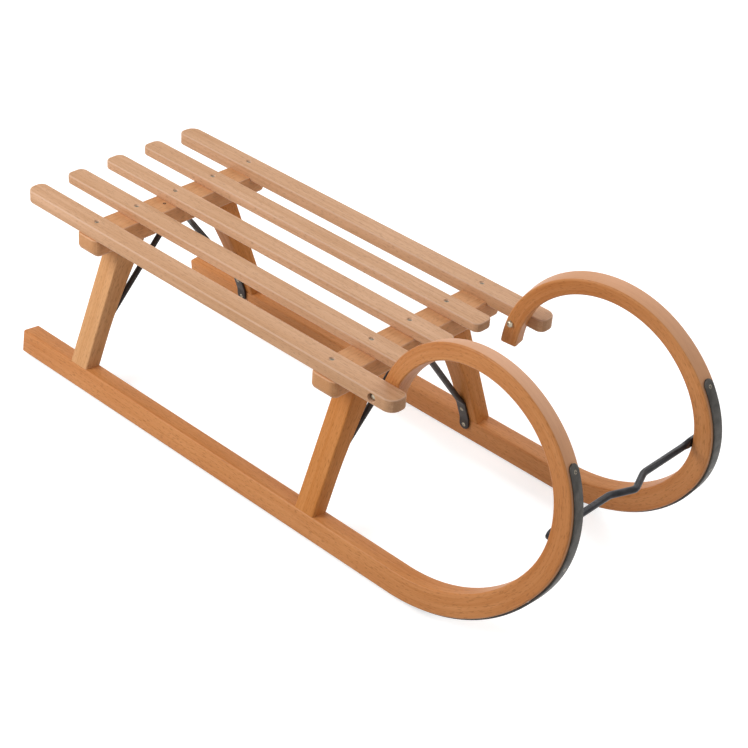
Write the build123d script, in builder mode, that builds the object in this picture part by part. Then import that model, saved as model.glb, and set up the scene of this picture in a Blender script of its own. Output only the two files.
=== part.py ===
import os
from math import acos, atan2, cos, degrees, hypot, radians, sin

from build123d import *

# Horned wooden sled: two steam-bent beech runners that curl up into horns, four splayed legs tenoned
# between runners and bearers, five seat slats, and steel shoes, braces, tow bar and horn bolts.
# Millimetres and degrees. +X points forward to the horns, +Y to the left and +Z up. The origin is on
# the ground, under the middle of the length and width.

# Overall
length = 1074.0
seat_height = 288.3
fit = 0.3

# Seat slats: the two outer ones are thicker, and all tops are level
slat_pitch = 78.0
slat_width = 34.2
slat_thickness = 15.0
outer_slat_thickness = 20.6
slat_end_round = 9.0
outer_slat_corner_round = 16.0
slat_edge_chamfer = 1.8
slat_rear_overhang = 147.8
slat_front_overhang = 73.0
outer_slat_nose = 38.0

# Bearers across the sled, under the slats and nearly flush with the outer ones
horn_to_bearer = 89.0
bearer_length = 352.0
bearer_width = 48.5
bearer_thickness = 34.0
bearer_end_round = 9.0
bearer_top_chamfer = 2.0
bearer_lower_chamfer = 4.0

# Legs, with a tenon at each end
leg_width = 36.5
leg_thickness = 28.0
leg_splay_angle = 21.0
leg_setback = 3.5
tenon_width = 20.0
tenon_thickness = 12.0
foot_tenon_length = 20.0
head_tenon_length = 20.0

# Runners: straight along the ground, then bent three times, and tapering over the first two bends
runner_width = 30.4
runner_height = 38.6
runner_chamfer = 2.6
runner_lean_angle = 6.2
runner_rear_setback = 8.5
lower_bend_radius = 250.0
lower_bend_angle = 61.4
lower_bend_pull_angle = 0.9
front_bend_radius = 166.0
front_bend_angle = 81.4
top_bend_radius = 162.0
top_bend_pull_angle = 6.7
horn_width = 26.2
horn_height = 25.3
horn_tail = 36.0
horn_seat_depth = 1.5

# Steel shoes along the middle of each runner's underside
shoe_width = 17.0
shoe_thickness = 3.0
shoe_rear_setback = 10.0
shoe_tip_angle = 122.0

# Horn bolts
bolt_radius = 3.0
bolt_setback = 2.5
bolt_head_radius = 5.5
bolt_head_height = 4.0
bolt_recess = 7.0
nut_width = 10.0
nut_height = 6.0
nut_seat_radius = 8.0
nut_seat_depth = 1.0

# Braces: one bent rod under each bearer, down to the feet of both legs
brace_radius = 4.7
brace_flat_width = 18.0
brace_flat_thickness = 3.8
brace_flat_chamfer = 1.2
brace_top_reach = 21.0
brace_foot_setback = 6.0
brace_leg_flat = 37.5
brace_runner_flat = 20.5
brace_neck = 24.0

# Tow bar between the horns
tow_radius = 5.0
tow_angle = 86.0
tow_kink_depth = 15.0
tow_kink_width = 74.0
tow_bend_radius = 16.0
tow_tab_height = 17.0
tow_tab_thickness = 5.0
tow_tab_inset = 3.0
tow_neck = 15.0

os.makedirs("parts", exist_ok=True)
sides = (("left", 1), ("right", -1))


def turned(plane, axis, angle):
    """The plane carried round an axis."""
    spin = Axis((0, 0, 0), axis.direction)
    origin = (plane.origin - axis.position).rotate(spin, angle) + axis.position
    return Plane(origin, x_dir=plane.x_dir.rotate(spin, angle), z_dir=plane.z_dir.rotate(spin, angle))


def bend_axis(plane, radius, pull):
    """Axis of a bend that starts on a section plane, tipped so that it also pulls inward."""
    towards = plane.y_dir * cos(radians(pull)) - plane.x_dir * sin(radians(pull))
    return Axis(plane.origin + towards * radius, plane.z_dir.cross(towards))


# A runner's stick is thickest along the ground and tapers evenly over the lower and front bends
lower_arc = radians(lower_bend_angle) * lower_bend_radius
front_arc = radians(front_bend_angle) * front_bend_radius


def stick(heading):
    """Width and height of a runner's stick where the front bend has a heading above the ground."""
    along = lower_arc + radians(heading - lower_bend_angle) * front_bend_radius
    share = along / (lower_arc + front_arc)
    width = runner_width + (horn_width - runner_width) * share
    return width, runner_height + (horn_height - runner_height) * share


# Heights, and places across the sled
rear = -length / 2
bearer_bottom = seat_height - slat_thickness - bearer_thickness
outer_slat_y = 2 * slat_pitch
outer_slat_bottom = seat_height - outer_slat_thickness
bolt_z = (seat_height + outer_slat_bottom) / 2
horn_seat_y = outer_slat_y - slat_width / 2

# Left runner's path, first in the plane y = 0. Section planes have x outward, y towards the inside of
# the bends and z along the path. The last bend goes down past the level of the horn bolt.
outward = Vector(0, cos(radians(runner_lean_angle)), sin(radians(runner_lean_angle)))
upward = Vector(0, -sin(radians(runner_lean_angle)), cos(radians(runner_lean_angle)))
shoe_bottom = runner_height / 2 + fit + shoe_thickness
ground_clearance = shoe_bottom * upward.Z + shoe_width / 2 * outward.Z
lower_reach = (lower_bend_radius - front_bend_radius) * sin(radians(lower_bend_angle))
front_height = stick(90)[1]
bend_reach = lower_reach + front_bend_radius + front_height / 2 + fit + shoe_thickness
straight_end = length / 2 - bend_reach
runner_rear = rear + runner_rear_setback
lower_start = Plane((straight_end, 0, ground_clearance), x_dir=outward, z_dir=(1, 0, 0))
lower_axis = bend_axis(lower_start, lower_bend_radius, lower_bend_pull_angle)
front_start = turned(lower_start, lower_axis, lower_bend_angle)
front_axis = bend_axis(front_start, front_bend_radius, 0)
top_start = turned(front_start, front_axis, front_bend_angle)
top_axis = bend_axis(top_start, top_bend_radius, top_bend_pull_angle)
arm = top_start.origin - top_axis.position
quarter = top_axis.direction.cross(arm)
level = (bolt_z - top_axis.position.Z) / hypot(arm.Z, quarter.Z)
bolt_turn = degrees(atan2(quarter.Z, arm.Z) + acos(level))
bolt_section = turned(top_start, top_axis, bolt_turn)
horn_turn = bolt_turn + degrees(horn_tail / top_bend_radius)

# The horn's outer face meets the outer slat, which sets how far apart the runners stand
bolt_outside = bolt_section.origin + bolt_section.x_dir * (horn_width / 2)
bolt_inside = bolt_section.origin - bolt_section.x_dir * (horn_width / 2)
bolt_x = bolt_section.origin.X - bolt_setback
stance = horn_seat_y + horn_seat_depth - bolt_outside.Y
horn_inner_y = bolt_inside.Y + stance
across = Vector(0, stance, 0)
rear_section = Plane((runner_rear, stance, ground_clearance), x_dir=outward, z_dir=(1, 0, 0))
lower_bend, front_bend, top_bend = [
    (Plane(start.origin + across, start.x_dir, start.z_dir), Axis(axis.position + across, axis.direction))
    for start, axis in ((lower_start, lower_axis), (front_start, front_axis), (top_start, top_axis))
]

# Stations along the sled
rear_bearer_x = rear + slat_rear_overhang
front_bearer_x = bolt_x - horn_to_bearer
bearer_stations = (("rear", rear_bearer_x), ("front", front_bearer_x))
leg_stations = [(station, x - leg_setback) for station, x in bearer_stations]

# Left leg's axis: from the middle of the runner's top face up to the bearer's underside
leg_up = Vector(0, -sin(radians(leg_splay_angle)), cos(radians(leg_splay_angle)))
leg_out = Vector(0, cos(radians(leg_splay_angle)), sin(radians(leg_splay_angle)))
foot = Vector(0, stance, ground_clearance) + upward * (runner_height / 2)


def on_foot(offset):
    """Point of the runner's top face at an offset across the leg."""
    return foot + outward * (offset / outward.dot(leg_out))


def on_bearer(offset):
    """Point of the bearer's underside at an offset across the leg."""
    base = foot + leg_out * offset
    return base + leg_up * ((bearer_bottom - base.Z) / leg_up.Z)


def leg_plane(x, along, sign=1):
    """Plane across a leg's axis, at a height along it."""
    base = foot + leg_up * along
    return Plane((x, sign * base.Y, base.Z), x_dir=(1, 0, 0), z_dir=(0, sign * leg_up.Y, leg_up.Z))


leg_height = (on_bearer(0) - foot).length

# Runners: the stick is swept through its tapering bends, then turned at one size into the horn
start_size = (runner_width, runner_height)
middle_size = stick(lower_bend_angle)
end_size = (horn_width, horn_height)
tapers = (
    # bend, angle, size of the stick at its start and end
    (lower_bend, lower_bend_angle, start_size, middle_size),
    (front_bend, front_bend_angle, middle_size, end_size),
)
with BuildPart() as runner:
    with BuildSketch(rear_section) as outline:
        Rectangle(*start_size)
        chamfer(outline.vertices(), runner_chamfer)
    extrude(amount=straight_end - runner_rear)
    for (section, axis), angle, first, last in tapers:
        half_way = turned(section, axis, angle / 2)
        bend_end = turned(section, axis, angle)
        with BuildLine():
            ThreePointArc(section.origin, half_way.origin, bend_end.origin)
        for plane, size in ((section, first), (bend_end, last)):
            with BuildSketch(plane) as outline:
                Rectangle(*size)
                chamfer(outline.vertices(), runner_chamfer)
        sweep(multisection=True)
    with BuildSketch(top_bend[0]) as outline:
        Rectangle(*end_size)
        chamfer(outline.vertices(), runner_chamfer)
    revolve(axis=top_bend[1], revolution_arc=horn_turn)
    # Flat seat against the outer slat, the bolt's hole and the nut's seat
    with BuildSketch(Plane((bolt_x, horn_seat_y, bolt_z), x_dir=(1, 0, 0), z_dir=(0, 1, 0))):
        Rectangle(4 * horn_height, outer_slat_thickness + 2 * fit)
    extrude(amount=horn_width, mode=Mode.SUBTRACT)
    with BuildSketch(Plane((bolt_x, horn_seat_y, bolt_z), x_dir=(1, 0, 0), z_dir=(0, -1, 0))):
        Circle(bolt_radius + fit)
    extrude(amount=2 * horn_width, mode=Mode.SUBTRACT)
    nut_seat_y = horn_inner_y + nut_seat_depth
    with BuildSketch(Plane((bolt_x, nut_seat_y, bolt_z), x_dir=(1, 0, 0), z_dir=(0, -1, 0))):
        Circle(nut_seat_radius)
    extrude(amount=horn_width, mode=Mode.SUBTRACT)
    # Mortises for the legs
    for station, x in leg_stations:
        with BuildSketch(leg_plane(x, -foot_tenon_length - fit)):
            Rectangle(tenon_width + 2 * fit, tenon_thickness + 2 * fit)
        extrude(amount=foot_tenon_length + runner_height, mode=Mode.SUBTRACT)

# Steel shoes, each ending in a rounded tip on the front of the horn
shoe_bends = (
    # bend, angle, height of the stick above the shoe at its start and end
    (lower_bend, lower_bend_angle, runner_height, middle_size[1]),
    (front_bend, shoe_tip_angle - lower_bend_angle, middle_size[1], stick(shoe_tip_angle)[1]),
)
shoe_drop = fit + shoe_thickness / 2
with BuildPart() as shoe:
    with BuildSketch(rear_section.offset(shoe_rear_setback)):
        with Locations((0, -runner_height / 2 - shoe_drop)):
            Rectangle(shoe_width, shoe_thickness)
    extrude(amount=straight_end - runner_rear - shoe_rear_setback)
    for (section, axis), angle, first, last in shoe_bends:
        half_way = turned(section, axis, angle / 2)
        bend_end = turned(section, axis, angle)
        with BuildLine():
            ThreePointArc(section.origin, half_way.origin, bend_end.origin)
        for plane, height in ((section, first), (bend_end, last)):
            with BuildSketch(plane):
                with Locations((0, -height / 2 - shoe_drop)):
                    Rectangle(shoe_width, shoe_thickness)
        sweep(multisection=True)
    tip = shoe.faces().sort_by(Axis.Z)[-1]
    tip_corners = tip.edges().sort_by(SortBy.LENGTH)[:2]
    fillet(tip_corners, 0.48 * shoe_width)

# Legs
with BuildPart() as leg:
    with BuildSketch(Plane.YZ):
        half = leg_thickness / 2
        corners = (on_foot(half), on_bearer(half), on_bearer(-half), on_foot(-half))
        Polygon(*[(c.Y, c.Z) for c in corners], align=None)
    extrude(amount=leg_width / 2, both=True)
    with BuildSketch(leg_plane(0, -foot_tenon_length)):
        Rectangle(tenon_width, tenon_thickness)
    extrude(amount=foot_tenon_length + leg_height + head_tenon_length)

# Bearers: rounded corners, rabbets at the ends for the thicker outer slats, mortises for the legs
rabbet_y = horn_seat_y - fit + bearer_length / 2
with BuildPart() as bearer:
    with BuildSketch(Plane.XY.offset(bearer_bottom)):
        RectangleRounded(bearer_width, bearer_length, bearer_end_round)
    extrude(amount=bearer_thickness)
    chamfer(bearer.faces().sort_by(Axis.Z)[-1].edges(), bearer_top_chamfer)
    chamfer(bearer.faces().sort_by(Axis.Z)[0].edges(), bearer_lower_chamfer)
    with BuildSketch(Plane.XY.offset(outer_slat_bottom)):
        with GridLocations(0, 2 * rabbet_y, 1, 2):
            Rectangle(2 * bearer_width, bearer_length)
    extrude(amount=bearer_thickness, mode=Mode.SUBTRACT)
    for side, sign in sides:
        with BuildSketch(leg_plane(-leg_setback, 0, sign)):
            Rectangle(tenon_width + 2 * fit, tenon_thickness + 2 * fit)
        extrude(amount=leg_height + head_tenon_length + fit, mode=Mode.SUBTRACT)

# Horn bolts: a round head sunk in the outer slat, and a cap nut on the horn's inner face
bolt_floor = outer_slat_y + slat_width / 2 - bolt_recess
nut_plane = Plane((bolt_x, nut_seat_y, bolt_z), x_dir=(1, 0, 0), z_dir=(0, -1, 0))
with BuildPart() as horn_bolt:
    with BuildSketch(Plane((bolt_x, bolt_floor, bolt_z), x_dir=(1, 0, 0), z_dir=(0, 1, 0))):
        Circle(bolt_head_radius)
    extrude(amount=bolt_head_height)
    with BuildSketch(nut_plane):
        Circle(bolt_radius)
    extrude(amount=nut_seat_y - bolt_floor)
    with BuildSketch(nut_plane):
        RegularPolygon(nut_width / 2, 6, major_radius=False)
    extrude(amount=nut_height)

# Braces: a round rod, hammered flat in the middle and along both legs' feet and runners
flat_gap = fit + brace_flat_thickness / 2
on_leg = foot - leg_out * (leg_thickness / 2 + flat_gap)
on_runner = foot - outward * (runner_width / 2 + flat_gap)
elbow = on_leg + leg_up * ((on_runner - on_leg).dot(outward) / leg_up.dot(outward))
flat_end = elbow - upward * brace_runner_flat
flat_top = elbow + leg_up * brace_leg_flat
middle = Vector(0, 0, bearer_bottom - flat_gap)
under_bearer = middle + Vector(0, brace_top_reach, 0)
rod_foot = flat_top - Vector(brace_foot_setback, 0, 0)
rod_way = (under_bearer - rod_foot).normalized()
rod_low = rod_foot + rod_way * brace_neck
rod_high = under_bearer - rod_way * brace_neck
brace_flats = (
    # place along the sled, points along the flat
    (-brace_foot_setback, (flat_end, elbow, flat_top)),
    (0, (under_bearer, middle)),
)
with BuildPart() as brace:
    for x, points in brace_flats:
        with BuildSketch(Plane.YZ.offset(x)):
            with BuildLine():
                Polyline(*[(p.Y, p.Z) for p in points])
            trace(line_width=brace_flat_thickness)
        extrude(amount=brace_flat_width / 2, both=True)
    flat_foot = brace.faces().sort_by(Axis.Z)[0]
    foot_corners = flat_foot.edges().sort_by(SortBy.LENGTH)[:2]
    fillet(foot_corners, 0.48 * brace_flat_width)
    for start, end in ((rod_foot, rod_low), (under_bearer, rod_high)):
        with BuildSketch(Plane(start, x_dir=(1, 0, 0), z_dir=end - start)) as outline:
            Rectangle(brace_flat_width, brace_flat_thickness)
            chamfer(outline.vertices(), brace_flat_chamfer)
        with BuildSketch(Plane(end, x_dir=(1, 0, 0), z_dir=end - start)) as outline:
            Rectangle(2 * brace_radius, 2 * brace_radius)
            chamfer(outline.vertices(), (2 - 2 ** 0.5) * brace_radius)
        loft(ruled=True)
    with BuildSketch(Plane(rod_low, x_dir=(1, 0, 0), z_dir=rod_way)):
        Circle(brace_radius)
    extrude(amount=(rod_high - rod_low).length)
    mirror(about=Plane.XZ)

# Tow bar: a rod with a forward kink for the rope, its ends flattened on the horns' inner curve
tow_section = turned(*front_bend, tow_angle - lower_bend_angle)
tow_width, tow_height = stick(tow_angle)
tab_sag = (tow_tab_height / 2) ** 2 / (2 * (front_bend_radius - tow_height / 2))
tab_gap = tab_sag + fit + tow_tab_thickness / 2
tow_centre = tow_section.origin + tow_section.y_dir * (tow_height / 2 + tab_gap)
tow_x = tow_centre.X
tow_z = tow_centre.Z
tab_facing = (tow_section.y_dir.X, 0, tow_section.y_dir.Z)
tab_start_y = tow_centre.Y - tow_width / 2
tab_end_y = tow_centre.Y + tow_width / 2 - tow_tab_inset
rod_end_y = tab_start_y - tow_neck
with BuildPart() as tow_bar:
    with BuildLine(Plane.XY.offset(tow_z)):
        FilletPolyline(
            (tow_x, -rod_end_y),
            (tow_x, -tow_kink_width / 2),
            (tow_x + tow_kink_depth, 0),
            (tow_x, tow_kink_width / 2),
            (tow_x, rod_end_y),
            radius=tow_bend_radius,
        )
    with BuildSketch(Plane((tow_x, -rod_end_y, tow_z), x_dir=(1, 0, 0), z_dir=(0, 1, 0))):
        Circle(tow_radius)
    sweep()
    for side, sign in sides:
        rod_end = Plane((tow_x, sign * rod_end_y, tow_z), x_dir=tab_facing, z_dir=(0, sign, 0))
        with BuildSketch(rod_end) as outline:
            Rectangle(2 * tow_radius, 2 * tow_radius)
            chamfer(outline.vertices(), (2 - 2 ** 0.5) * tow_radius)
        with BuildSketch(rod_end.offset(tow_neck)) as outline:
            Rectangle(tow_tab_thickness, tow_tab_height)
            chamfer(outline.vertices(), brace_flat_chamfer)
        loft(ruled=True)
        with BuildSketch(rod_end.offset(tow_neck)):
            Rectangle(tow_tab_thickness, tow_tab_height)
        extrude(amount=tab_end_y - tab_start_y)
    for tab_end in (tow_bar.faces().sort_by(Axis.Y)[0], tow_bar.faces().sort_by(Axis.Y)[-1]):
        fillet(tab_end.edges().sort_by(SortBy.LENGTH)[:2], tow_tab_height / 3)
tow_bar.part.label = "tow_bar"
export_step(tow_bar.part, "parts/tow_bar.step")

# Bearers and braces in their places
for name, piece in (("bearer", bearer), ("brace", brace)):
    for station, x in bearer_stations:
        with BuildPart() as placed:
            with Locations((x, 0, 0)):
                add(piece.part)
        placed.part.label = f"{name}_{station}"
        export_step(placed.part, f"parts/{name}_{station}.step")

# Seat slats, from right to left: the outer corners of the outer ones are rounded most
inner_front = front_bearer_x + slat_front_overhang
outer_front = bolt_x + outer_slat_nose
slats = (
    # name, place across, front end, thickness, corner rounds on the right and left
    ("slat_outer_right", -2, outer_front, outer_slat_thickness, outer_slat_corner_round, slat_end_round),
    ("slat_inner_right", -1, inner_front, slat_thickness, slat_end_round, slat_end_round),
    ("slat_middle", 0, inner_front, slat_thickness, slat_end_round, slat_end_round),
    ("slat_inner_left", 1, inner_front, slat_thickness, slat_end_round, slat_end_round),
    ("slat_outer_left", 2, outer_front, outer_slat_thickness, slat_end_round, outer_slat_corner_round),
)
for name, place, front_end, thickness, right_round, left_round in slats:
    with BuildPart() as slat:
        with BuildSketch(Plane.XY.offset(seat_height - thickness)) as outline:
            with Locations(((front_end + rear) / 2, place * slat_pitch)):
                Rectangle(front_end - rear, slat_width)
            fillet(outline.vertices().sort_by(Axis.Y)[:2], right_round)
            fillet(outline.vertices().sort_by(Axis.Y)[-2:], left_round)
        extrude(amount=thickness)
        chamfer(slat.faces().filter_by(Axis.Z).edges(), slat_edge_chamfer)
        if abs(place) == 2:
            sign = place // 2
            recess = Plane((bolt_x, sign * bolt_floor, bolt_z), x_dir=(1, 0, 0), z_dir=(0, sign, 0))
            with BuildSketch(recess):
                Circle(bolt_head_radius + fit)
            extrude(amount=slat_width, mode=Mode.SUBTRACT)
            with BuildSketch(recess):
                Circle(bolt_radius + fit)
            extrude(amount=-slat_width, mode=Mode.SUBTRACT)
    slat.part.label = name
    export_step(slat.part, f"parts/{name}.step")

# Pieces that stand in pairs: made on the left, mirrored to the right
whole = (("", 0),)
pairs = (
    # name, left piece, stations along the sled
    ("runner", runner, whole),
    ("shoe", shoe, whole),
    ("horn_bolt", horn_bolt, whole),
    ("leg", leg, leg_stations),
)
for name, piece, stations in pairs:
    for station, x in stations:
        for side, sign in sides:
            with BuildPart() as placed:
                with Locations((x, 0, 0)):
                    add(piece.part)
                if sign < 0:
                    mirror(about=Plane.XZ, mode=Mode.REPLACE)
            label = "_".join(word for word in (name, station, side) if word)
            placed.part.label = label
            export_step(placed.part, f"parts/{label}.step")
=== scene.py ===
import bmesh
import bpy
import numpy as np
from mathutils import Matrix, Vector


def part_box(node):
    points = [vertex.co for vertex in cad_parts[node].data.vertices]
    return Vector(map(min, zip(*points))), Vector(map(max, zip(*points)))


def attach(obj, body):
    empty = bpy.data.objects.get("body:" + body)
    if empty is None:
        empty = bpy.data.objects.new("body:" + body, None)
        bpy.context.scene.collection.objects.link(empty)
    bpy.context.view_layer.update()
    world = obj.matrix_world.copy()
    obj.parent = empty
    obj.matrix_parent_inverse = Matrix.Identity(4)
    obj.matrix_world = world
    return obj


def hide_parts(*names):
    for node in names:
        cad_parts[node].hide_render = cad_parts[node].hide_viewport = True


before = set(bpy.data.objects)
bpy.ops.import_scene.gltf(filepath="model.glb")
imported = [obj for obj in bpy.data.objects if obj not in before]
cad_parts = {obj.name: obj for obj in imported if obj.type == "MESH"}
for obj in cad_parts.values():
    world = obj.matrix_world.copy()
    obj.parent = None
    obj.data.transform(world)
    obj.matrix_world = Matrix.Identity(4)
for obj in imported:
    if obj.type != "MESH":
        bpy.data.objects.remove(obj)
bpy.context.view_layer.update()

# Runners: each is one beech stick, planed square, steamed and bent round a form into a horn. The stick is
# deepest along the ground and thins towards the horn. Its arrises are rounded over, and the horn's end
# has a flat seat where it is bolted to an outer slat.
SIDES = {"left": 1, "right": -1}
LEAN = np.radians(6.2)
RUNNER_OUT = np.array([0, np.cos(LEAN), np.sin(LEAN)])
RUNNER_UP = np.array([0, -np.sin(LEAN), np.cos(LEAN)])
RUNNER_REAR = -0.5285
STRAIGHT_END = 0.27928
RUNNER_START = np.array([STRAIGHT_END, 0.180018, 0.023386])
RUNNER_SIZE = np.array([0.0304, 0.0386])
HORN_SIZE = np.array([0.0262, 0.0253])
# a bend is a radius, a pull towards the middle of the sled and a turn
LOWER_BEND = (0.250, np.radians(0.9), np.radians(61.4))
FRONT_BEND = (0.166, 0.0, np.radians(81.4))
TOP_BEND = (0.162, np.radians(6.7), np.radians(123.877))
THINNING_LENGTH = LOWER_BEND[0] * LOWER_BEND[2] + FRONT_BEND[0] * FRONT_BEND[2]
STRAIGHT_RINGS = 40
BEND_RINGS = 60
TOP_RINGS = 90
RUNNER_ARRIS = 0.0032
LEAST_ARRIS = 0.0006
RUNNER_END_ROUND = 0.0022
SEAT_HEIGHT = 0.2883
HORN_SEAT_Y = 0.1389
HORN_SEAT_GAP = 0.0002
HORN_SEAT_OVER = 0.001
HORN_SEAT_SLOPE = 0.6
HORN_BACK_X = 0.26
# how strongly the painted sheen is laid on the outside of the bends
FACE_SHEEN = 1.3
FACE_MARGIN = 0.0004
WOOD_SPECULAR = 0.03
LACQUER_ROUGHNESS = 0.45
SHARP_ANGLE = np.radians(38)
END_GRAIN_FACING = 0.75
ARRIS_SLANT = (0.2, 0.98)


class Wire:
    """A socket in a node tree. Arithmetic on it adds Math nodes, and node() adds any other node."""

    def __init__(self, tree, socket=None):
        self.tree = tree
        self.socket = socket

    def node(self, kind, settings, sockets, out=0):
        """A new node: its settings, then a value or a Wire for each socket. Gives one output."""
        made = self.tree.nodes.new(kind)
        stops = settings.pop("stops", ())
        for name, value in settings.items():
            setattr(made, name, value)
        for place, (at, colour) in enumerate(stops):
            if place > 1:
                made.color_ramp.elements.new(at)
            made.color_ramp.elements[place].position = at
            made.color_ramp.elements[place].color = colour
        for name, value in sockets.items():
            if isinstance(value, Wire):
                self.tree.links.new(value.socket, made.inputs[name])
            else:
                made.inputs[name].default_value = value
        return Wire(self.tree, made.outputs[out])

    def maths(self, operation, first, second):
        """A Math node on two values or wires."""
        return self.node("ShaderNodeMath", {"operation": operation}, {0: first, 1: second})

    def __add__(self, other):
        return self.maths("ADD", self, other)

    def __sub__(self, other):
        return self.maths("SUBTRACT", self, other)

    def __rsub__(self, other):
        return self.maths("SUBTRACT", other, self)

    def __mul__(self, other):
        return self.maths("MULTIPLY", self, other)

    __radd__ = __add__
    __rmul__ = __mul__


def into(wire, shader, socket):
    """Leads a wire into a shader's socket."""
    wire.tree.links.new(wire.socket, shader.inputs[socket])


def mixed(share, first, second):
    """The colour a share of the way from the first to the second: a Mix node's colour sockets are 6 and 7,
    and its colour output is 2."""
    return share.node("ShaderNodeMix", {"data_type": "RGBA"}, {0: share, 6: first, 7: second}, 2)


def beech(name, pale, deep, coat):
    """Lacquered beech. Streaks, fibres and ray flecks are noise stretched along the grain. Faces cut across
    the grain are darker, with open pores. A paler, whiter tone is painted on where a point is marked for it:
    a painted highlight on rounded edges and a painted sheen on the outside of the bends, both standing in for
    light off the lacquer."""
    material = bpy.data.materials.new(name)
    material.use_nodes = True
    shader = material.node_tree.nodes["Principled BSDF"]
    start = Wire(material.node_tree)
    grain = start.node("ShaderNodeAttribute", {"attribute_name": "grain"}, {}, "Vector")
    end = start.node("ShaderNodeAttribute", {"attribute_name": "end_grain"}, {}, "Fac")
    painted_highlight = start.node("ShaderNodeAttribute", {"attribute_name": "painted_highlight"}, {}, "Fac")

    def noise(scale, detail, rough):
        """Noise with a scale along, across and up through the grain."""
        stretched = grain.node("ShaderNodeMapping", {}, {"Vector": grain, "Scale": scale})
        return grain.node("ShaderNodeTexNoise", {}, {"Vector": stretched, "Scale": 1.0, "Detail": detail,
                                                      "Roughness": rough}, "Fac")

    bands = noise((1.6, 60, 60), 2.0, 0.5)
    streaks = noise((5, 230, 230), 3.0, 0.6)
    fibres = noise((12, 900, 900), 2.0, 0.6)
    flecks = noise((120, 1000, 650), 1.0, 0.4)
    clouds = noise((5, 14, 14), 2.0, 0.5)
    pores = noise((1500, 1500, 1500), 1.0, 0.5)
    # noise is a half on average, and so is this sum
    depth = bands * 0.6 + streaks * 0.8 + fibres * 0.25 + clouds * 0.5 - 0.575
    stops = ((0.25, (*pale, 1)), (0.75, (*deep, 1)))
    tone = grain.node("ShaderNodeValToRGB", {"stops": stops}, {"Fac": depth})
    fleck = grain.node("ShaderNodeMapRange", {}, {"Value": flecks, "From Min": 0.57, "From Max": 0.7,
                                                   "To Min": 0.0, "To Max": 0.55})
    dark = (*(0.66 * c for c in deep), 1)
    # painted highlight and sheen: a paler, whiter tone that stands in for light caught by rounded edges and
    # off the lacquer, mixed in where a point is marked for it
    highlight_paint = (*(0.85 * c + 0.13 for c in pale), 1)
    flecked = mixed(fleck, tone, dark)
    with_highlight = mixed(painted_highlight * 0.5, flecked, highlight_paint)
    into(mixed(end * (pores * 0.5 + 0.12), with_highlight, dark), shader, "Base Color")
    into(fibres * 0.16 + 0.34 + end * 0.12, shader, "Roughness")
    bump = grain.node("ShaderNodeBump", {}, {"Strength": 0.3, "Distance": 0.0002, "Height": fibres + streaks})
    into(bump, shader, "Normal")
    shader.inputs["Specular IOR Level"].default_value = WOOD_SPECULAR
    shader.inputs["Coat Weight"].default_value = coat
    shader.inputs["Coat Roughness"].default_value = LACQUER_ROUGHNESS
    return material


def lengths(points):
    """Length along a line of points, from its first one."""
    return np.concatenate([[0], np.cumsum(np.linalg.norm(np.diff(points, axis=0), axis=1))])


def bent(place, radius, pull, turn, rings):
    """Places round one bend, as origin, outward, inward and forward vectors. A vector v turned by an
    angle a about a unit axis k is v cos a + (k x v) sin a + k (k.v) (1 - cos a)."""
    origin, out, inner, ahead = place
    towards = inner * np.cos(pull) - out * np.sin(pull)
    axis = np.cross(ahead, towards)
    centre = origin + towards * radius
    a = np.linspace(0, turn, rings)[1:, None, None]
    arms = np.array([origin - centre, out, inner, ahead])
    along_axis = (arms @ axis)[:, None] * axis
    places = arms * np.cos(a) + np.cross(axis, arms) * np.sin(a) + along_axis * (1 - np.cos(a))
    places[:, 0] += centre
    return places


def stick_path(rear, front_turn, top_turn):
    """Places along the left runner, and how far each is past the start of the bends: a straight run from
    the rear and then the bends, one after another."""
    begin = np.array([RUNNER_START, RUNNER_OUT, RUNNER_UP, (1.0, 0, 0)])
    straight = np.repeat(begin[None], STRAIGHT_RINGS, 0)
    straight[:, 0, 0] = np.linspace(rear, STRAIGHT_END, STRAIGHT_RINGS)
    runs = [straight, bent(begin, *LOWER_BEND, BEND_RINGS)]
    runs.append(bent(runs[-1][-1], *FRONT_BEND[:2], front_turn, BEND_RINGS))
    if top_turn:
        runs.append(bent(runs[-1][-1], *TOP_BEND[:2], top_turn, TOP_RINGS))
    path = np.concatenate(runs)
    return path, lengths(path[:, 0]) + rear - STRAIGHT_END


def eased(places, run, radius, steps=5):
    """Adds places at both ends of a path, and how far its section draws in there to round the ends over: a
    quarter circle, radius times cos t along the path and radius times 1 - sin t inward."""
    t = np.linspace(0, np.pi / 2, steps)[:-1]
    first = np.repeat(places[:1], len(t), 0)
    first[:, 0] -= places[0, 3] * (radius * np.cos(t))[:, None]
    last = np.repeat(places[-1:], len(t), 0)
    last[:, 0] += places[-1, 3] * (radius * np.cos(t[::-1]))[:, None]
    inset = np.concatenate([radius * (1 - np.sin(t)), np.zeros(len(places)), radius * (1 - np.sin(t[::-1]))])
    run = np.concatenate([run[0] - radius * np.cos(t), run, run[-1] + radius * np.cos(t[::-1])])
    return np.concatenate([first, places, last]), run, inset


def section_size(run):
    """Width and depth of the stick: they thin evenly along the lower and front bends."""
    return RUNNER_SIZE + (HORN_SIZE - RUNNER_SIZE) * np.clip(run / THINNING_LENGTH, 0, 1)[:, None]


def rounded(size, radius, steps=6):
    """Rounded rectangles, one for each row of sizes: four corner centres, each with a quarter circle. A row
    has one radius or four, anticlockwise from the corner at plus, plus, and each stays just under half the
    shorter side."""
    turns = (np.linspace(0, np.pi / 2, steps) + np.arange(4)[:, None] * np.pi / 2).ravel()
    corner = np.repeat(np.array([(1, 1), (-1, 1), (-1, -1), (1, -1)]), steps, 0)
    size = np.asarray(size, float)[:, None]
    radius = np.broadcast_to(np.asarray(radius, float).reshape(len(size), -1), (len(size), 4))
    radius = np.minimum(np.repeat(radius, steps, 1)[..., None], 0.4999 * size.min(2, keepdims=True))
    return corner * (size / 2 - radius) + radius * np.stack([np.cos(turns), np.sin(turns)], 1)


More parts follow.
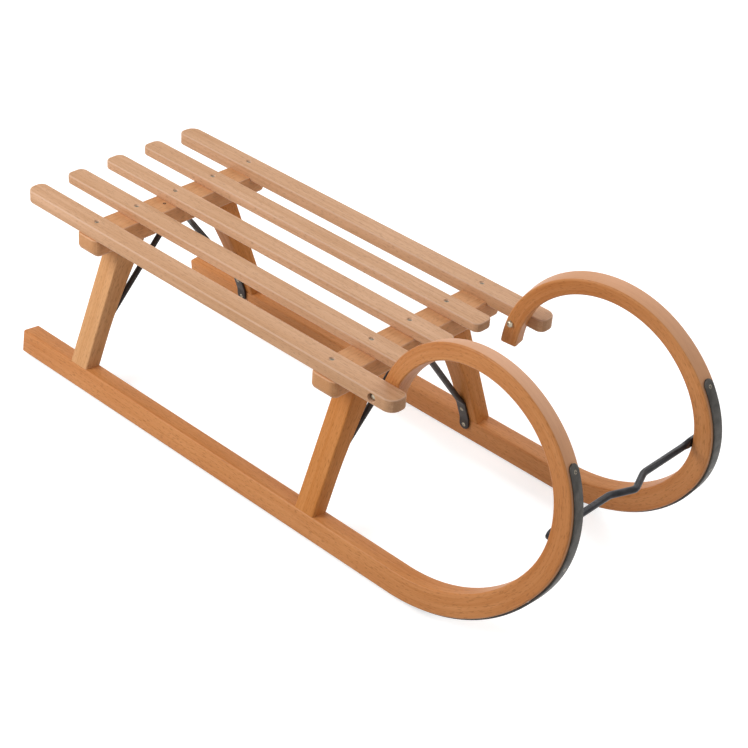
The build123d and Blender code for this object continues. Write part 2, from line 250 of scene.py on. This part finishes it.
def carried(profile, places):
    """A profile carried along places: origin, plus its first number outward and its second inward."""
    return places[:, None, 0] + profile[..., :1] * places[:, None, 1] + profile[..., 1:] * places[:, None, 2]


def closed(name, rings):
    """A mesh over rings of points: four-sided faces from ring to ring and a flat face over the first and the
    last ring. Takes one skin of rings, or a stack of equal ones."""
    rings = rings.reshape(-1, *rings.shape[-3:])
    items, count, around = rings.shape[:3]
    first = (np.arange(items) * count * around)[:, None]
    i = (np.arange(count - 1)[:, None] * around + first[..., None]).reshape(-1, 1)
    j = np.arange(around)
    k = (j + 1) % around
    sides = np.stack([i + j, i + k, i + around + k, i + around + j], -1).reshape(-1, 4)
    ends = np.concatenate([first + j[::-1], first + j + (count - 1) * around])
    mesh = bpy.data.meshes.new(name)
    mesh.from_pydata(rings.reshape(-1, 3).tolist(), [], sides.tolist() + ends.tolist())
    shell = bmesh.new()
    shell.from_mesh(mesh)
    bmesh.ops.recalc_face_normals(shell, faces=shell.faces)
    shell.to_mesh(mesh)
    shell.free()
    return mesh


def settle(name, mesh, material, nodes=(), grain=None, along=None, highlight_paint=None):
    """Puts a finished mesh in the scene as a piece of the sled. Grain is each point's place in the wood:
    along, across and up. A board has the vector along: faces square to it are end grain, and on slanting
    ones, its rounded edges, a highlight is painted. On a stick the end faces are end grain, and the last
    argument gives each point's share of painted highlight."""
    faces = len(mesh.polygons)
    mesh.polygons.foreach_set("use_smooth", np.ones(faces, bool))
    mesh.set_sharp_from_angle(angle=SHARP_ANGLE)
    if grain is not None:
        mesh.attributes.new("grain", "FLOAT_VECTOR", "POINT").data.foreach_set("vector", np.ravel(grain))
        normals, corners = np.empty(3 * faces), np.empty(faces, np.int32)
        mesh.polygons.foreach_get("normal", normals)
        mesh.polygons.foreach_get("loop_total", corners)
        normals = normals.reshape(-1, 3)
        end = corners > 4 if along is None else np.abs(normals @ along) > END_GRAIN_FACING
        mesh.attributes.new("end_grain", "FLOAT", "FACE").data.foreach_set("value", end.astype(np.float32))
        # painted highlight on boards: slanting faces, the rounded edges, are marked for a paler tone that
        # stands in for the light they catch; on a stick the given shares mark a painted sheen
        steep = np.abs(normals[:, 2])
        slanting = (steep > ARRIS_SLANT[0]) & (steep < ARRIS_SLANT[1]) & (along is not None)
        painted_highlight = mesh.attributes.new("painted_highlight", "FLOAT", "FACE" if highlight_paint is None else "POINT")
        painted_highlight.data.foreach_set("value", np.ravel(slanting if highlight_paint is None else highlight_paint).astype(np.float32))
    mesh.materials.append(material)
    piece = bpy.data.objects.new(name, mesh)
    bpy.context.collection.objects.link(piece)
    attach(piece, "root")
    if nodes:
        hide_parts(*nodes)


top_turn = TOP_BEND[2] - RUNNER_END_ROUND / TOP_BEND[0]
path, run = stick_path(RUNNER_REAR + RUNNER_END_ROUND, FRONT_BEND[2], top_turn)
path, run, inset = eased(path, run, RUNNER_END_ROUND)
size = section_size(run)
profile = rounded(size - 2 * inset[:, None], np.maximum(RUNNER_ARRIS - inset, LEAST_ARRIS), steps=7)
runner = carried(profile, path)
# the seat: below the slat's top the horn's outer face is pared flat, easing out above it
above = np.clip(runner[..., 2] - SEAT_HEIGHT - HORN_SEAT_OVER, 0, 1)
seat = HORN_SEAT_Y - HORN_SEAT_GAP + HORN_SEAT_SLOPE * above
horn_end = (run > THINNING_LENGTH)[:, None] & (runner[..., 0] < HORN_BACK_X)
runner[..., 1] = np.where(horn_end, np.minimum(runner[..., 1], seat), runner[..., 1])
runner_grain = np.concatenate([np.broadcast_to(run[:, None, None], (*profile.shape[:2], 1)), profile], -1)
# a paler tone is painted on the face on the outside of the bends, as far as the arrises: a painted sheen
# standing in for light off the lacquer
outer_face = profile[..., 1] < -size[:, 1:] / 2 + inset[:, None] + FACE_MARGIN
runner_wood = beech("beech_bent", pale=(0.59, 0.258, 0.09), deep=(0.46, 0.163, 0.04), coat=0.4)
# each piece lies at a place of its own in the wood, so that no two have the same grain
for side, sign in SIDES.items():
    name = f"runner_bent_{side}"
    own_grain = runner_grain + (2 * sign, 0.1 * sign, 0.2)
    settle(name, closed(name, runner * (1, sign, 1)), runner_wood, [f"runner_{side}"],
           grain=own_grain, highlight_paint=FACE_SHEEN * outer_face)

# Shoes: a strip of dark rolled steel under the middle of each runner, bent up the front of the horn to a
# half-round tip and held by countersunk screws with crossed slots.
SHOE_WIDTH = 0.017
SHOE_THICKNESS = 0.003
SHOE_ARRIS = 0.0007
SHOE_GAP = 0.0003
SHOE_REAR = RUNNER_REAR + 0.010
SHOE_TIP_TURN = np.radians(122.0) - LOWER_BEND[2]
SHOE_TIP_RINGS = 14
SHOE_TIP_SHARE = 0.9995
SHOE_SCREW_TURNS = np.radians((74.2, 118.5))
SHOE_SCREW_RUNS = (-0.765, -0.53, -0.29, -0.05)
SHOE_SCREW_SINK = 0.0001
# a screw's head is a radius and the height of its dome
SHOE_SCREW_HEAD = (0.0034, 0.0003)
HEAD_SPOKES = 40
HEAD_SPIN = 2.4
# shares of a head's radius: its rings from the rim to the middle, how far the two lowest drop, and the slot
HEAD_RINGS = np.concatenate([[1, 1, 0.985], np.linspace(0.92, 0.02, 14)])
RIM_DROP = np.array([[0.5], [0.06]])
SLOT_HALF_WIDTH = 0.17
SLOT_WALL = 0.05
SLOT_REACH = 0.66
SLOT_END = 0.1
SLOT_DEPTH = 0.28
STEEL_SPECULAR = 0.25


def steel(name, light, dark, rough, metallic):
    """Rolled, blackened or plated steel: mottled by soft noise, with fine scuffs."""
    material = bpy.data.materials.new(name)
    material.use_nodes = True
    shader = material.node_tree.nodes["Principled BSDF"]
    start = Wire(material.node_tree)
    place = start.node("ShaderNodeTexCoord", {}, {}, "Object")
    mottle = start.node("ShaderNodeTexNoise", {}, {"Vector": place, "Scale": 90.0, "Detail": 4.0}, "Fac")
    scuff = start.node("ShaderNodeTexNoise", {}, {"Vector": place, "Scale": 420.0, "Detail": 3.0}, "Fac")
    stops = ((0.35, (*dark, 1)), (0.7, (*light, 1)))
    into(start.node("ShaderNodeValToRGB", {"stops": stops}, {"Fac": mottle}), shader, "Base Color")
    into(scuff * 0.25 + rough, shader, "Roughness")
    relief = mottle + scuff * 0.3
    bump = start.node("ShaderNodeBump", {}, {"Strength": 0.2, "Distance": 0.0003, "Height": relief})
    into(bump, shader, "Normal")
    shader.inputs["Metallic"].default_value = metallic
    shader.inputs["Specular IOR Level"].default_value = STEEL_SPECULAR
    return material


def places_at(path, run, wanted):
    """Places along a path at the wanted lengths, each part of a place read off between its neighbours."""
    flat = path.reshape(len(path), -1)
    return np.stack([np.interp(wanted, run, column) for column in flat.T], 1).reshape(-1, *path.shape[1:])


def turned(places, axes, radius, height):
    """Round pieces, one at each place: every ring is a circle about the axis, at its height along it. Radius
    and height have a row for each ring and a column for each spoke. Each piece is spun on from the last."""
    axes = np.asarray(axes, float)
    # the spokes start square to x, or to z where the axis is near x
    aside = np.where(np.abs(axes[:, :1]) < 0.8, (1.0, 0, 0), (0, 0, 1.0))
    first = np.cross(axes, aside)
    first /= np.linalg.norm(first, axis=1)[:, None]
    second = np.cross(axes, first)
    spokes = np.shape(radius)[1]
    spin = np.arange(len(axes))[:, None] * HEAD_SPIN + np.arange(spokes) * 2 * np.pi / spokes
    way = np.cos(spin)[..., None] * first[:, None] + np.sin(spin)[..., None] * second[:, None]
    return (np.asarray(places)[:, None, None] + np.asarray(radius)[None, ..., None] * way[:, None]
            + np.asarray(height)[None, ..., None] * axes[:, None, None])


def screw_heads(name, places, axes, head, material):
    """Screw heads: discs with a dome of height 1 - r squared, and a crossed slot, deep where the smaller of
    the two distances from the cross's middle lines is small. The first two rings are the rim below."""
    radius, dome = head
    out = HEAD_RINGS[:, None] * np.ones(HEAD_SPOKES)
    a = np.arange(HEAD_SPOKES) * 2 * np.pi / HEAD_SPOKES
    narrow = np.minimum(np.abs(out * np.cos(a)), np.abs(out * np.sin(a)))
    in_width = np.clip((SLOT_HALF_WIDTH - narrow) / SLOT_WALL, 0, 1)
    in_reach = np.clip((SLOT_REACH - out) / SLOT_END, 0, 1)
    height = dome * (1 - out ** 2) - SLOT_DEPTH * radius * in_width * in_reach
    height[:2] -= RIM_DROP * radius
    settle(name, closed(name, turned(places, axes, out * radius, height)), material)


path, run = stick_path(SHOE_REAR, SHOE_TIP_TURN, 0)
half = SHOE_WIDTH / 2
tip_run = run[-1] - half * (1 - np.cos(np.linspace(0, np.pi / 2, SHOE_TIP_RINGS)))[::-1]
shoe_run = np.concatenate([run[run < tip_run[0]], tip_run])
shoe_path = places_at(path, run, shoe_run)
depth = section_size(shoe_run)[:, 1]
into_tip = np.clip((shoe_run - tip_run[0]) / half, 0, SHOE_TIP_SHARE)
wide = SHOE_WIDTH * np.sqrt(1 - into_tip ** 2)
thick = np.full_like(wide, SHOE_THICKNESS)
profile = rounded(np.stack([wide, thick], 1), np.full_like(wide, SHOE_ARRIS), steps=4)
profile[..., 1] -= (depth / 2 + SHOE_GAP + SHOE_THICKNESS / 2)[:, None]
shoe = carried(profile, shoe_path)
heading = np.unwrap(np.arctan2(shoe_path[:, 3, 2], shoe_path[:, 3, 0]))
screw_run = np.concatenate([SHOE_SCREW_RUNS, np.interp(SHOE_SCREW_TURNS, heading, shoe_run)])
screw_path = places_at(shoe_path, shoe_run, screw_run)
screw_drop = np.interp(screw_run, shoe_run, depth) / 2 + SHOE_GAP + SHOE_THICKNESS - SHOE_SCREW_SINK
screw_spots = screw_path[:, 0] - screw_path[:, 2] * screw_drop[:, None]
shoe_steel = steel("shoe_steel_rolled", light=(0.09, 0.083, 0.075), dark=(0.05, 0.046, 0.041),
                   rough=0.36, metallic=0.5)
screw_steel = steel("screw_steel_plated", light=(0.36, 0.32, 0.25), dark=(0.2, 0.17, 0.13),
                    rough=0.25, metallic=1.0)
for side, sign in SIDES.items():
    mirror = np.array((1, sign, 1))
    name = f"shoe_strip_{side}"
    settle(name, closed(name, shoe * mirror), shoe_steel, [f"shoe_{side}"])
    screw_heads(f"shoe_screws_{side}", screw_spots * mirror, -screw_path[:, 2] * mirror, SHOE_SCREW_HEAD,
                screw_steel)

# Legs: four beech legs, splayed inward from the runners up to the bearers, with a tenon glued into each. Only
# the shoulders show, cut to the runner's lean and to the level bearer. The inner side flares out towards
# the bearer. One leg is sawn from paler wood than the others.
LEG_SIZE = np.array([[0.0365, 0.028]])
LEG_ARRIS = 0.0028
LEG_LENGTH = 0.21
LEG_RINGS = 12
LEG_X = {"rear": -0.3927, "front": 0.105358}
FOOT = np.array([0, 0.177933, 0.042573])
BEARER_BOTTOM = 0.2393
SPLAY = np.radians(21.0)
LEG_UP = np.array([0, -np.sin(SPLAY), np.cos(SPLAY)])
LEG_OUT = np.array([0, np.cos(SPLAY), np.sin(SPLAY)])
LEG_FLARE = 0.018
FLARE_START = 0.28
FLARE_POWER = 1.5
PALE_LEG = ("rear", "right")
profile = rounded(LEG_SIZE, [LEG_ARRIS])[0]
base = FOOT + profile[:, 1:] * LEG_OUT + profile[:, :1] * np.array([1, 0, 0])
low = base - ((base - FOOT) @ RUNNER_UP / (LEG_UP @ RUNNER_UP))[:, None] * LEG_UP
high = base + ((BEARER_BOTTOM - base[:, 2]) / LEG_UP[2])[:, None] * LEG_UP
rise = np.linspace(0, 1, LEG_RINGS)[:, None, None]
# the flare: from its start the inner half of each ring moves inward by a power of the height
flare = LEG_FLARE * np.clip((rise - FLARE_START) / (1 - FLARE_START), 0, 1) ** FLARE_POWER
leg = low + (high - low) * rise - flare * (profile[:, 1:] < 0) * np.array([0, 1, 0])
leg_grain = np.concatenate([np.broadcast_to(rise * LEG_LENGTH, (LEG_RINGS, len(profile), 1)),
                            np.broadcast_to(profile, (LEG_RINGS, *profile.shape))], -1)
pale_leg_wood = beech("beech_leg_rear", pale=(0.65, 0.355, 0.17), deep=(0.52, 0.25, 0.098), coat=0.1)
leg_wood = beech("beech_leg_front", pale=(0.60, 0.255, 0.082), deep=(0.47, 0.165, 0.036), coat=0.1)
for number, (station, x) in enumerate(LEG_X.items()):
    for side, sign in SIDES.items():
        name = f"leg_post_{station}_{side}"
        mesh = closed(name, (leg + (x, 0, 0)) * (1, sign, 1))
        wood = pale_leg_wood if (station, side) == PALE_LEG else leg_wood
        own_grain = leg_grain + (number + 0.3 * sign, 0.11 * sign, 0.3 * number)
        settle(name, mesh, wood, [f"leg_{station}_{side}"], grain=own_grain)

# Bearers: two stout beech boards across the sled, on top of the legs. Their ends are rounded, softened below,
# and rabbeted so that the thicker outer slats come level with the others. A nail shows in the rear one.
BEARER_X = {"rear": -0.3892, "front": 0.108858}
BEARER_HALF = 0.176
BEARER_WIDTH = 0.0485
BEARER_TOP = 0.2733
RABBET_START = 0.1386
RABBET_FLOOR = 0.2677
RABBET_STEP = 1e-5
BEARER_CORNER = 0.012
BEARER_CORNER_RINGS = 12
BEARER_UNDER_ROUND = 0.010
BEARER_TOP_ROUND = 0.0022
BEARER_LOWER_ARRIS = 0.006
NAIL_PLACE = (-0.3865, -0.0225, BEARER_TOP)
NAIL_HEAD = (0.0026, 0.0004)
UPWARD = (0, 0, 1)


def drawn_in(reach, radius):
    """How far a quarter circle of this radius draws in, where the reach is the distance left to its end."""
    return radius * (1 - np.sqrt(1 - np.clip(1 - reach / radius, 0, 1) ** 2))


corner_turn = np.linspace(0, np.pi / 2, BEARER_CORNER_RINGS)
across = np.concatenate([[0, RABBET_START - RABBET_STEP, RABBET_START + RABBET_STEP],
                         BEARER_HALF - BEARER_CORNER * (1 - np.sin(corner_turn))])
across = np.concatenate([-across[:0:-1], across])
reach = BEARER_HALF - np.abs(across)
low = BEARER_BOTTOM + drawn_in(reach, BEARER_UNDER_ROUND)
high = np.where(np.abs(across) > RABBET_START, RABBET_FLOOR, BEARER_TOP) - drawn_in(reach, BEARER_TOP_ROUND)
size = np.stack([BEARER_WIDTH - 2 * drawn_in(reach, BEARER_CORNER), high - low], 1)
arrises = (BEARER_TOP_ROUND, BEARER_TOP_ROUND, BEARER_LOWER_ARRIS, BEARER_LOWER_ARRIS)
profile = rounded(size, np.tile(arrises, (len(across), 1)), steps=7)
bearer = np.stack([profile[..., 0], np.broadcast_to(across[:, None], profile.shape[:2]),
                   profile[..., 1] + ((low + high) / 2)[:, None]], -1)
bearer_wood = beech("beech_bearer", pale=(0.66, 0.35, 0.175), deep=(0.58, 0.28, 0.122), coat=0.12)
for number, (station, x) in enumerate(BEARER_X.items()):
    name = f"bearer_board_{station}"
    own_grain = bearer[..., (1, 0, 2)] + (0.7 + number, 0.2 * number, 0)
    settle(name, closed(name, bearer + (x, 0, 0)), bearer_wood, [f"bearer_{station}"],
           grain=own_grain, along=np.array([0, 1.0, 0]))
black_steel = steel("brace_steel_black", light=(0.044, 0.033, 0.028), dark=(0.02, 0.015, 0.013),
                    rough=0.32, metallic=0.3)
screw_heads("bearer_nail", [NAIL_PLACE], [UPWARD], NAIL_HEAD, black_steel)

# Braces: one rod of black steel under each bearer, bent to a wide V down to the feet of two legs. Its middle
# and its ends are hammered flat, bent to lie on the wood and screwed on with bright round-headed screws.
BRACE_FOOT_X = -0.0085
BRACE_MIDDLE_X = 0.0045
# the left half's corners, from the foot on the runner past the foot of the leg up to the bearer
BRACE_HALF = np.array([(BRACE_FOOT_X, 0.162586, 0.022737), (BRACE_FOOT_X, 0.160372, 0.043117),
                       (BRACE_FOOT_X, 0.146933, 0.078127), (BRACE_MIDDLE_X, 0.021, 0.2371)])
BRACE_RADIUS = 0.0047
BRACE_FLAT = np.array([0.018, 0.0038])
BRACE_NECK = 0.024
BRACE_BEND = 0.012
FLAT_ARRIS = 0.0011
FLAT_LEAST_SHARE = 0.002
BRACE_SCREW_UP = 0.0225
BRACE_SCREW_DOWN = 0.0125
BRACE_SCREW_OUT = 0.0017
BRACE_SCREW_HEAD = (0.0036, 0.0016)
ACROSS_MIRROR = np.array((1, -1, 1))


def softened(points, reach, step=0.0008):
    """A line through corner points, cut into even steps and averaged over a reach to soften its corners. Of
    its points every second one is kept."""
    run = lengths(points)
    fine = np.linspace(0, run[-1], int(run[-1] / step))
    line = np.stack([np.interp(fine, run, column) for column in points.T], 1)
    width = int(reach / step) | 1
    before = 2 * line[0] - line[width // 2:0:-1]
    after = 2 * line[-1] - line[-2:-width // 2 - 1:-1]
    window = np.hanning(width + 2)[1:-1]
    padded = np.concatenate([before, line, after])
    return np.stack([np.convolve(column, window / window.sum(), "valid") for column in padded.T], 1)[::2]


def flattened(line, roundness, flat, radius, facing, end_round):
    """A rod along a line, hammered flat where its roundness is 0: its section goes from a circle to a flat
    bar that is wide along the facing vector, and narrows by a share at rounded ends."""
    way = np.gradient(line, axis=0)
    way /= np.linalg.norm(way, axis=1)[:, None]
    wide = facing - (way @ facing)[:, None] * way
    wide /= np.linalg.norm(wide, axis=1)[:, None]
    soft = (roundness ** 2 * (3 - 2 * roundness))[:, None]
    size = flat + (2 * radius - flat) * soft
    size[:, 0] *= np.sqrt(np.maximum(1 - (1 - np.clip(end_round, 0, 1)) ** 2, FLAT_LEAST_SHARE))
    profile = rounded(size, FLAT_ARRIS + (radius - FLAT_ARRIS) * soft)
    return line[:, None] + profile[..., :1] * wide[:, None] + profile[..., 1:] * np.cross(way, wide)[:, None]


line = softened(np.concatenate([BRACE_HALF, BRACE_HALF[::-1] * ACROSS_MIRROR]), BRACE_BEND)
run = lengths(line)
from_end = np.minimum(run, run[-1] - run)
marks = lengths(BRACE_HALF)
roundness = np.clip(np.minimum(from_end - marks[2], marks[3] - from_end) / BRACE_NECK, 0, 1)
end_round = from_end / (BRACE_FLAT[0] / 2)
brace = flattened(line, roundness, BRACE_FLAT, BRACE_RADIUS, np.array([1.0, 0, 0]), end_round)
upper = BRACE_HALF[1] + LEG_UP * BRACE_SCREW_UP - LEG_OUT * BRACE_SCREW_OUT
lower = BRACE_HALF[1] - RUNNER_UP * BRACE_SCREW_DOWN - RUNNER_OUT * BRACE_SCREW_OUT
middle = BRACE_HALF[3] * (1, 0, 1) - (0, 0, BRACE_SCREW_OUT)
spots = np.array([upper, lower, upper * ACROSS_MIRROR, lower * ACROSS_MIRROR, middle])
axes = -np.array([LEG_OUT, RUNNER_OUT, LEG_OUT * ACROSS_MIRROR, RUNNER_OUT * ACROSS_MIRROR, UPWARD])
for station, x in BEARER_X.items():
    name = f"brace_rod_{station}"
    settle(name, closed(name, brace + (x, 0, 0)), black_steel, [f"brace_{station}"])
    screw_heads(f"brace_screws_{station}", spots + (x, 0, 0), axes, BRACE_SCREW_HEAD,
                screw_steel)

# Seat slats: five planed beech slats with rounded ends, screwed down on the bearers. The outer two are
# thicker and longer, and have a round recess in the outer side for the head of the horn bolt.
SLAT_NODES = ("slat_outer_right", "slat_inner_right", "slat_middle", "slat_inner_left", "slat_outer_left")
SLAT_EDGE = 0.0026
SLAT_FACE_MARGIN = 0.0004
SLAT_CORNER = 0.0115
OUTER_CORNER = 0.019
SLAT_CORNERS = {"slat_outer_right": (SLAT_CORNER, SLAT_CORNER, OUTER_CORNER, OUTER_CORNER),
                "slat_outer_left": (OUTER_CORNER, OUTER_CORNER, SLAT_CORNER, SLAT_CORNER)}
LEAST_CORNER = 0.0005
SLAT_SCREW_X = (-0.3868, 0.1075)
SLAT_SCREW_SINK = 0.0018
SLAT_SCREW_HEAD = (0.0034, 0.0001)
BOLT_X = 0.197858
BOLT_Z = 0.278
RECESS_FLOOR_Y = 0.1661
# rings of the drills: radius, and height over the slat's top or distance from the middle of the sled
SINK_RINGS = np.array([(0.0026, -0.0032), (0.0047, 0.0), (0.0054, 0.0008)])
SINK_SPOKES = 32
RECESS_RINGS = np.array([(0.0068, RECESS_FLOOR_Y), (0.0068, 0.1725), (0.0076, 0.1737)])
RECESS_SPOKES = 40


def plate(low, high, corners, edge):
    """Rings of a board: its plan is a rectangle with four corner radii, and rings of that plan are drawn in
    along a quarter circle round its lower and upper edges."""
    low, high = np.array(low), np.array(high)
    t = np.linspace(0, np.pi / 2, 7)
    flat = [edge + SLAT_FACE_MARGIN]
    draw = np.concatenate([flat, edge * (1 - np.sin(t)), edge * (1 - np.cos(t)), flat])
    level = np.concatenate([[low[2]], low[2] + edge * (1 - np.cos(t)),
                            high[2] - edge * (1 - np.sin(t)), [high[2]]])
    size = np.broadcast_to((high - low)[:2], (len(draw), 2)) - 2 * draw[:, None]
    radius = np.maximum(np.array(corners) - draw[:, None], LEAST_CORNER)
    plan = rounded(size, radius, steps=10) + (low + high)[:2] / 2
    return np.concatenate([plan, np.broadcast_to(level[:, None, None], (*plan.shape[:2], 1))], -1)


def bored(mesh, tools):
    """The mesh with each tool cut away by a Boolean."""
    board = bpy.data.objects.new("board", mesh)
    bpy.context.collection.objects.link(board)
    drills = [bpy.data.objects.new("drill", tool) for tool in tools]
    for drill in drills:
        bpy.context.collection.objects.link(drill)
        cut = board.modifiers.new("bore", "BOOLEAN")
        cut.object = drill
    made = bpy.data.meshes.new_from_object(board.evaluated_get(bpy.context.evaluated_depsgraph_get()))
    for spare in (board, *drills):
        bpy.data.objects.remove(spare)
    return made


slat_wood = beech("beech_slat", pale=(0.60, 0.358, 0.216), deep=(0.475, 0.256, 0.13), coat=0.24)
sink = SINK_RINGS.T[..., None] * np.ones(SINK_SPOKES)
recess = RECESS_RINGS.T[..., None] * np.ones(RECESS_SPOKES)
for node in SLAT_NODES:
    name = node.replace("slat", "slat_board")
    low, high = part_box(node)
    middle = (low[1] + high[1]) / 2
    spots = np.array([(x, middle, SEAT_HEIGHT) for x in SLAT_SCREW_X])
    upward = [UPWARD] * len(spots)
    tools = [closed("drill", turned(spots, upward, *sink))]
    if node in SLAT_CORNERS:
        tools.append(closed("drill", turned([(BOLT_X, 0, BOLT_Z)], [(0, np.sign(middle), 0)], *recess)))
    corners = SLAT_CORNERS.get(node, (SLAT_CORNER,) * 4)
    mesh = bored(closed(name, plate(low, high, corners, SLAT_EDGE)), tools)
    grain = np.empty(3 * len(mesh.vertices))
    mesh.vertices.foreach_get("co", grain)
    settle(name, mesh, slat_wood, [node], grain=grain, along=np.array([1.0, 0, 0]))
    screw_heads(node.replace("slat", "slat_screws"), spots - (0, 0, SLAT_SCREW_SINK), upward, SLAT_SCREW_HEAD,
                screw_steel)

# Horn bolts: a bright zinc-plated bolt through each outer slat and the horn's end, with a low domed head in
# the slat's recess and a hexagonal cap nut on the inside of the horn.
BOLT_RADIUS = 0.003
NUT_FACE_Y = 0.1157
NUT_ACROSS = 0.010
BOLT_SPOKES = 48
# rings of the head with the shaft, and of the nut: distance from the middle of the sled, and radius
BOLT_HEAD = ((0.1701, 0.0002), (0.1699, 0.0022), (0.1692, 0.0042), (0.1682, 0.0053), (0.1672, 0.0055),
             (RECESS_FLOOR_Y, 0.0055), (RECESS_FLOOR_Y, BOLT_RADIUS), (NUT_FACE_Y, BOLT_RADIUS))
BOLT_NUT = ((NUT_FACE_Y, 0.0054), (0.1151, 0.0062), (0.1124, 0.0062), (0.1119, 0.0052), (0.1118, 0.0044),
            (0.1108, 0.0040), (0.1100, 0.0028), (0.1096, 0.0002))
a = np.arange(BOLT_SPOKES) * 2 * np.pi / BOLT_SPOKES
# the nut's six flats: half its size across them, divided by the cosine of the angle from a flat's middle
hexagon = NUT_ACROSS / 2 / np.cos(a % (np.pi / 3) - np.pi / 6)
rows = np.array(BOLT_HEAD + BOLT_NUT)
height, radius = rows.T[..., None] * np.ones(BOLT_SPOKES)
radius = np.where(height <= NUT_FACE_Y, np.minimum(radius, hexagon), radius)
zinc = steel("bolt_steel_zinc", light=(0.55, 0.49, 0.38), dark=(0.36, 0.31, 0.23), rough=0.26, metallic=1.0)
for side, sign in SIDES.items():
    name = f"horn_bolt_nut_{side}"
    rings = turned([(BOLT_X, 0, BOLT_Z)], [(0, sign, 0)], radius, height)
    settle(name, closed(name, rings), zinc, [f"horn_bolt_{side}"])

# Tow bar: a black rod between the horns with a forward kink in the middle. Its ends are hammered flat and
# screwed to the inside of the horns with black domed screws.
TOW_X = 0.500812
TOW_Z = 0.221372
TOW_KINK = 0.015
TOW_KINK_HALF = 0.037
TOW_BEND = 0.016
TOW_RADIUS = 0.005
TOW_TAB = np.array([0.017, 0.005])
TOW_TAB_START = 0.142067
TOW_TAB_END = 0.166639
TOW_NECK = 0.017
TOW_FACING = np.array([-0.997466, 0, 0.070934])
TOW_SCREW_Y = 0.1545
TOW_SCREW_OUT = 0.0024
TOW_SCREW_HEAD = (0.0055, 0.0026)
half = np.array([(TOW_X, TOW_KINK_HALF, TOW_Z), (TOW_X, TOW_TAB_END, TOW_Z)])
corners = np.concatenate([half[::-1] * ACROSS_MIRROR, [(TOW_X + TOW_KINK, 0, TOW_Z)], half])
line = softened(corners, TOW_BEND)
reach = np.abs(line[:, 1])
roundness = np.clip((TOW_TAB_START - reach) / TOW_NECK, 0, 1)
end_round = (TOW_TAB_END - reach) / (TOW_TAB[0] / 2)
tow = flattened(line, roundness, TOW_TAB, TOW_RADIUS, np.cross(TOW_FACING, (0, 1.0, 0)), end_round)
tow_steel = steel("tow_steel_black", light=(0.03, 0.03, 0.034), dark=(0.015, 0.015, 0.017),
                  rough=0.24, metallic=0.4)
settle("tow_rod", closed("tow_rod", tow), tow_steel, ["tow_bar"])
spots = np.array([(TOW_X, sign * TOW_SCREW_Y, TOW_Z) for sign in SIDES.values()]) + TOW_FACING * TOW_SCREW_OUT
screw_heads("tow_screws", spots, [TOW_FACING] * 2, TOW_SCREW_HEAD, tow_steel)

# Floor, studio light and camera: a white floor, a soft lamp from the right and behind, a faint one from the
# front, a long one on the left that gives the lacquer its sheen, and an even sky. Floor and sky look white
# to the eye.
FLOOR_HALF = 30
FLOOR_GREY = 0.65
FLOOR_ROUGHNESS = 0.8
FLOOR_LIFT = 0.6
SKY_LIGHT = 0.3
BLACK = (0, 0, 0, 1)
WHITE = (1, 1, 1, 1)
# each lamp's name, width, height, watts, place and turn in degrees
LAMPS = (("key", 1.6, 1.6, 66, (-1.4, -1.95, 1.8), (45, -26, 0)),
         ("fill", 1.6, 1.6, 9, (2.0, -0.5, 2.0), (15, 45, 0)),
         ("sheen", 4.6, 2.0, 80, (0.1, 2.6, 2.2), (-50, 0, 0)))
CAMERA_LENS = 90.283
CAMERA_SENSOR = 36
CAMERA_PLACE = (1.5455, -1.72657, 1.66453)
CAMERA_TURN = (56.6639, -3.9098, 43.4798)


def seen(tree):
    """1 for light on its way to the camera, by itself, off a shiny piece or through a clear one, and 0 for
    light that falls on pieces."""
    start = Wire(tree)
    camera_ray, glossy_ray, clear_ray = (start.node("ShaderNodeLightPath", {}, {}, f"Is {kind} Ray")
                                         for kind in ("Camera", "Glossy", "Transmission"))
    return camera_ray + glossy_ray + clear_ray


floor_mesh = bpy.data.meshes.new("floor")
floor_corners = FLOOR_HALF * np.array([(-1, -1, 0), (1, -1, 0), (1, 1, 0), (-1, 1, 0)])
floor_mesh.from_pydata(floor_corners.tolist(), [], [(0, 1, 2, 3)])
floor = bpy.data.objects.new("floor", floor_mesh)
bpy.context.collection.objects.link(floor)
floor_paint = bpy.data.materials.new("floor_white")
floor_paint.use_nodes = True
floor_shader = floor_paint.node_tree.nodes["Principled BSDF"]
floor_shader.inputs["Base Color"].default_value = (FLOOR_GREY, FLOOR_GREY, FLOOR_GREY, 1)
floor_shader.inputs["Roughness"].default_value = FLOOR_ROUGHNESS
floor_shader.inputs["Emission Strength"].default_value = FLOOR_LIFT
into(mixed(seen(floor_paint.node_tree), BLACK, WHITE), floor_shader, "Emission Color")
floor_mesh.materials.append(floor_paint)

world = bpy.data.worlds.new("studio_sky")
world.use_nodes = True
sky = world.node_tree.nodes["Background"]
sky.inputs["Color"].default_value = WHITE
into(seen(world.node_tree) * (1 - SKY_LIGHT) + SKY_LIGHT, sky, "Strength")
bpy.context.scene.world = world

for name, wide, high, watts, place, turn in LAMPS:
    lamp = bpy.data.lights.new(name, "AREA")
    lamp.shape = "RECTANGLE"
    lamp.size = wide
    lamp.size_y = high
    lamp.energy = watts
    softbox = bpy.data.objects.new(name, lamp)
    softbox.location = place
    softbox.rotation_euler = np.radians(turn)
    bpy.context.collection.objects.link(softbox)

camera = bpy.data.cameras.new("photo_view")
camera.sensor_width = CAMERA_SENSOR
camera.lens = CAMERA_LENS
photo_view = bpy.data.objects.new("photo_view", camera)
photo_view.location = CAMERA_PLACE
photo_view.rotation_euler = np.radians(CAMERA_TURN)
bpy.context.collection.objects.link(photo_view)
bpy.context.scene.camera = photo_view
bpy.context.scene.view_settings.view_transform = "Standard"
